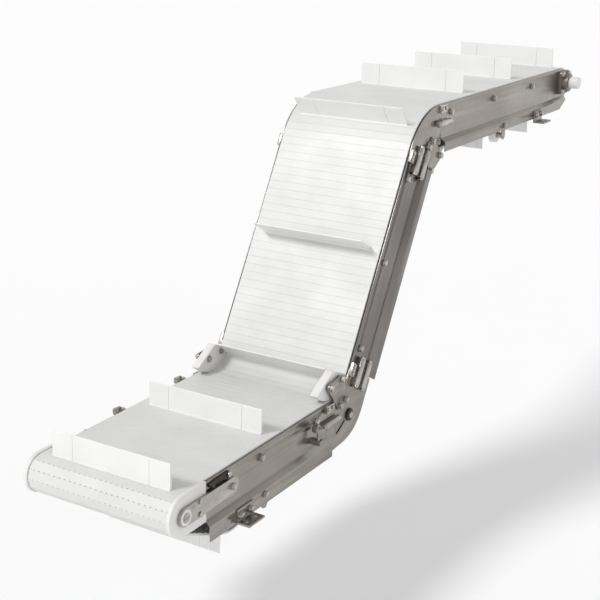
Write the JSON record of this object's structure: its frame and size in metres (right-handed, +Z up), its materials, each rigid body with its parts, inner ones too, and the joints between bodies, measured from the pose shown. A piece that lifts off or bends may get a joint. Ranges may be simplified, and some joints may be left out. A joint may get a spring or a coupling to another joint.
{
  "type": "belt conveyor section",
  "caption": "Z-shaped modular belt conveyor section: low infeed run, steep incline and raised discharge run, with upright flights on the belt.",
  "frame": {"origin": "centre of the infeed support bolt pattern, on the underside of the support feet", "axes": "+X along the infeed run in the direction of travel, +Y across the belt to the left side, +Z up"},
  "size_m": [2.5628, 0.6305, 1.1241],
  "materials": {
    "belt_plastic": "moulded modular belt and flights",
    "white_uhmw": "machined slide plastic",
    "stainless_sheet": "fine satin grain",
    "stainless_bar": "turned and pickled",
    "dark_steel": "blackened",
    "bearing_casting": "cast stainless, bead blasted"
  },
  "bodies": {
    "frame": {"bearing_bolts": "stainless_bar", "bearing_cap": "white_uhmw", "belt_discharge": "belt_plastic", "belt_drive_wrap": "belt_plastic", "belt_incline": "belt_plastic", "belt_infeed": "belt_plastic", "belt_return_discharge": "belt_plastic", "belt_return_incline": "belt_plastic", "belt_return_infeed": "belt_plastic", "belt_return_sag": "belt_plastic", "belt_tail_wrap": "belt_plastic", "cross_tube_bolts": "stainless_bar", "cross_tubes": "stainless_bar", "drive_bearings": "bearing_casting", "flights_carry": "belt_plastic", "flights_return": "belt_plastic", "hold_down_shoes": "white_uhmw", "knee_bushes": "dark_steel", "knee_plate_lower_left": "stainless_sheet", "knee_plate_lower_right": "stainless_sheet", "knee_plate_upper_left": "stainless_sheet", "knee_plate_upper_right": "stainless_sheet", "return_shoes": "white_uhmw", "return_wheel_axles": "stainless_bar", "return_wheel_brackets": "stainless_sheet", "shoe_bolts": "stainless_bar", "shoe_brackets": "stainless_sheet", "side_plate_discharge_left": "stainless_sheet", "side_plate_discharge_right": "stainless_sheet", "side_plate_incline_left": "stainless_sheet", "side_plate_incline_right": "stainless_sheet", "side_plate_infeed_left": "stainless_sheet", "side_plate_infeed_right": "stainless_sheet", "side_plate_studs": "stainless_sheet", "splice_blocks": "stainless_bar", "splice_bolts": "stainless_bar", "splice_screws": "stainless_bar", "splice_sleeves": "stainless_bar", "strip_bolts": "stainless_bar", "support_brackets_discharge": "stainless_sheet", "support_brackets_infeed": "stainless_sheet", "tail_arms": "stainless_bar", "tail_bushes": "white_uhmw", "tail_fixings": "stainless_bar", "tail_side_plates": "white_uhmw", "wear_strips_centre": "white_uhmw", "wear_strips_edge": "white_uhmw"},
    "tail_shaft": {"tail_shaft": "stainless_bar", "tail_sprockets": "white_uhmw"},
    "drive_shaft": {"drive_shaft": "stainless_bar", "drive_sprockets": "white_uhmw", "drive_shaft_collar": "stainless_bar"},
    "knee_shaft": {"knee_return_shaft": "stainless_bar", "knee_return_wheels": "white_uhmw"},
    "wheel_infeed_left": {"return_wheel_infeed_left": "white_uhmw"},
    "wheel_infeed_right": {"return_wheel_infeed_right": "white_uhmw"},
    "wheel_discharge_left": {"return_wheel_discharge_left": "white_uhmw"},
    "wheel_discharge_right": {"return_wheel_discharge_right": "white_uhmw"},
    "latch_left": {"tail_latch_left": "dark_steel"},
    "latch_right": {"tail_latch_right": "dark_steel"}
  },
  "joints": [
    {"name": "drive_spin", "type": "hinge", "parent": "frame", "child": "drive_shaft", "pos_m": [2.20339, 0, 0.89374], "axis": [0, 1, 0], "continuous": true},
    {"name": "tail_spin", "type": "hinge", "parent": "frame", "child": "tail_shaft", "pos_m": [-0.25, 0, 0.11258], "axis": [0, 1, 0], "continuous": true},
    {"name": "knee_spin", "type": "hinge", "parent": "frame", "child": "knee_shaft", "pos_m": [0.58617, 0, 0.0843], "axis": [0, 1, 0], "continuous": true},
    {"name": "wheel_infeed_left_spin", "type": "hinge", "parent": "frame", "child": "wheel_infeed_left", "pos_m": [0.103, 0, -0.0004], "axis": [0, 1, 0], "continuous": true},
    {"name": "wheel_infeed_right_spin", "type": "hinge", "parent": "frame", "child": "wheel_infeed_right", "pos_m": [0.103, 0, -0.0004], "axis": [0, 1, 0], "continuous": true},
    {"name": "wheel_discharge_left_spin", "type": "hinge", "parent": "frame", "child": "wheel_discharge_left", "pos_m": [1.61799, 0, 0.77475], "axis": [0, 1, 0], "continuous": true},
    {"name": "wheel_discharge_right_spin", "type": "hinge", "parent": "frame", "child": "wheel_discharge_right", "pos_m": [1.61799, 0, 0.77475], "axis": [0, 1, 0], "continuous": true},
    {"name": "latch_left_hinge", "type": "hinge", "parent": "frame", "child": "latch_left", "pos_m": [-0.055, 0.2318, 0.149], "axis": [0, 1, 0], "range_deg": [0, 70]},
    {"name": "latch_right_hinge", "type": "hinge", "parent": "frame", "child": "latch_right", "pos_m": [-0.055, -0.2318, 0.149], "axis": [0, 1, 0], "range_deg": [0, 70]}
  ],
  "couplings": [
    {"joint": "tail_spin", "follows": "drive_spin", "ratio": 1},
    {"joint": "knee_spin", "follows": "drive_spin", "ratio": 0.82677},
    {"joint": "wheel_infeed_left_spin", "follows": "drive_spin", "ratio": -2.3366},
    {"joint": "wheel_infeed_right_spin", "follows": "drive_spin", "ratio": -2.3366},
    {"joint": "wheel_discharge_left_spin", "follows": "drive_spin", "ratio": -1.8174},
    {"joint": "wheel_discharge_right_spin", "follows": "drive_spin", "ratio": -1.8174}
  ]
}
